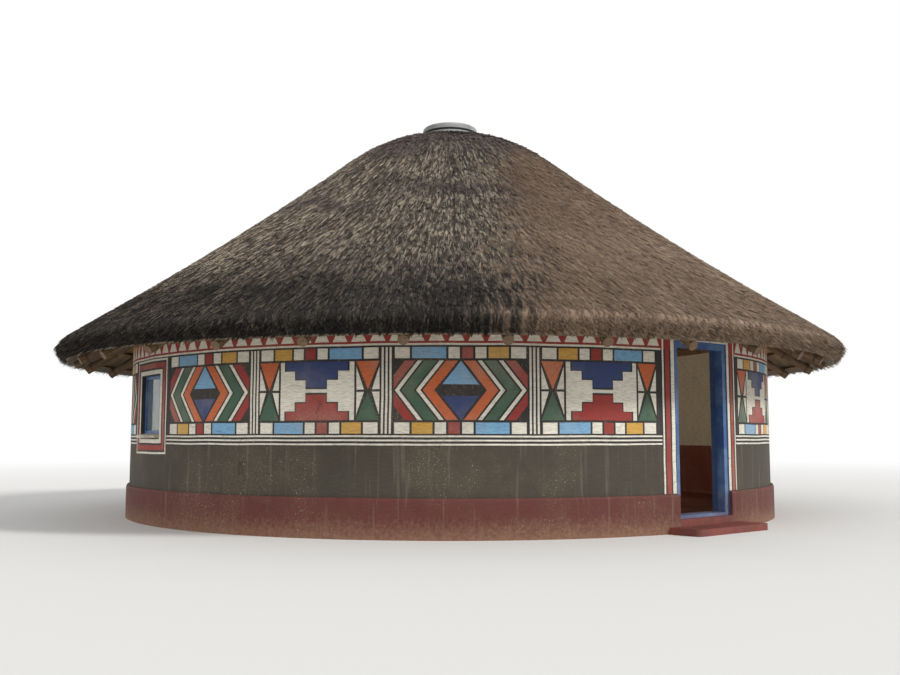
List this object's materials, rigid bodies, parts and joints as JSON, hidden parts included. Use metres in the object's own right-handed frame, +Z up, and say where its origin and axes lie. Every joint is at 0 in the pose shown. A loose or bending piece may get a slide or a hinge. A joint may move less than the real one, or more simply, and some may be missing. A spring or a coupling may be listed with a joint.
{
  "type": "rondavel hut",
  "caption": "Round hut with plastered painted walls, a wide open doorway, and a pole-framed thatched cone roof that ends in a small cement cap.",
  "frame": {"origin": "on the ground at the middle of the round hut", "axes": "+Z up, the doorway faces -Y, +X to the right of someone who looks in through the doorway"},
  "size_m": [10.7462, 10.7456, 5.6728],
  "materials": {
    "painted_plaster": "lime-washed plaster over masonry, hand-painted in bright bands over a dark base",
    "red_cement": "red-oxide cement, trowelled and worn",
    "blue_timber": "sawn timber with blue oil paint",
    "window_glass": "clear window glass",
    "pale_cement": "white-washed cement",
    "sawn_timber": "rough sawn planks",
    "pole_timber": "peeled round poles, weathered",
    "lath_timber": "thin bent laths",
    "thatch": "weathered grey-brown grass, dressed smooth",
    "thatch_inside": "clean straw-coloured grass",
    "cap_cement": "bare grey cement, weathered",
    "roofing_felt": "dark roofing felt"
  },
  "bodies": {
    "root": {"floor_slab": "red_cement", "doorstep": "red_cement", "wall_front_right": "painted_plaster", "wall_right": "painted_plaster", "wall_rear_right": "painted_plaster", "wall_back_right": "painted_plaster", "wall_front_left": "painted_plaster", "wall_left": "painted_plaster", "wall_rear_left": "painted_plaster", "wall_back_left": "painted_plaster", "wall_over_door": "painted_plaster", "wall_over_window_right": "painted_plaster", "wall_over_window_left": "painted_plaster", "wall_under_window_right": "painted_plaster", "wall_under_window_left": "painted_plaster", "wall_under_door": "red_cement", "door_sill": "blue_timber", "door_jamb_right": "blue_timber", "door_jamb_left": "blue_timber", "door_head": "blue_timber", "window_frame_right": "blue_timber", "window_frame_left": "blue_timber", "window_glass_right": "window_glass", "window_glass_left": "window_glass", "window_sill_right": "pale_cement", "window_sill_left": "pale_cement", "wall_plate": "sawn_timber", "king_post": "pole_timber", "main_rafters": "pole_timber", "second_rafters": "pole_timber", "jack_rafters": "pole_timber", "lath_rings": "lath_timber", "thatch_underlayer": "thatch_inside", "thatch_eave_course": "thatch", "thatch_lower_coat": "thatch", "thatch_upper_coat": "thatch", "thatch_top_course": "thatch", "cap_apron": "cap_cement", "cap_lower_felt": "roofing_felt", "cap_band": "cap_cement", "cap_upper_felt": "roofing_felt", "cement_cap": "cap_cement"}
  },
  "joints": []
}
